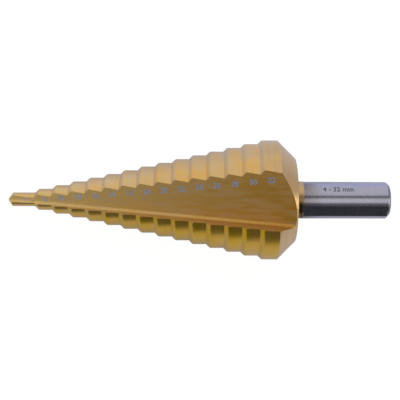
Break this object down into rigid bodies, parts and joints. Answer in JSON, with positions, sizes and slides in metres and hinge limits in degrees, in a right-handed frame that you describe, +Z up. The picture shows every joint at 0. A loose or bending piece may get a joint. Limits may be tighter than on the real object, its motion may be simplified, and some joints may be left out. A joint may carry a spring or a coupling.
{
  "type": "step drill",
  "caption": "Step drill: a stepped cone with two straight V flutes on a round shank with three flats, for opening holes in sheet metal.",
  "frame": {"origin": "middle of the bounding box's foot, on the surface that the drill lies on", "axes": "+X towards the shank end, the drill's axis rising 10.3 degrees from the tip to the shank; +Z up out of the upper flute"},
  "size_m": [0.1, 0.0316, 0.0284],
  "materials": {
    "coated_steel": "satin"
  },
  "bodies": {
    "root": {"step_drill": "coated_steel"}
  },
  "joints": []
}
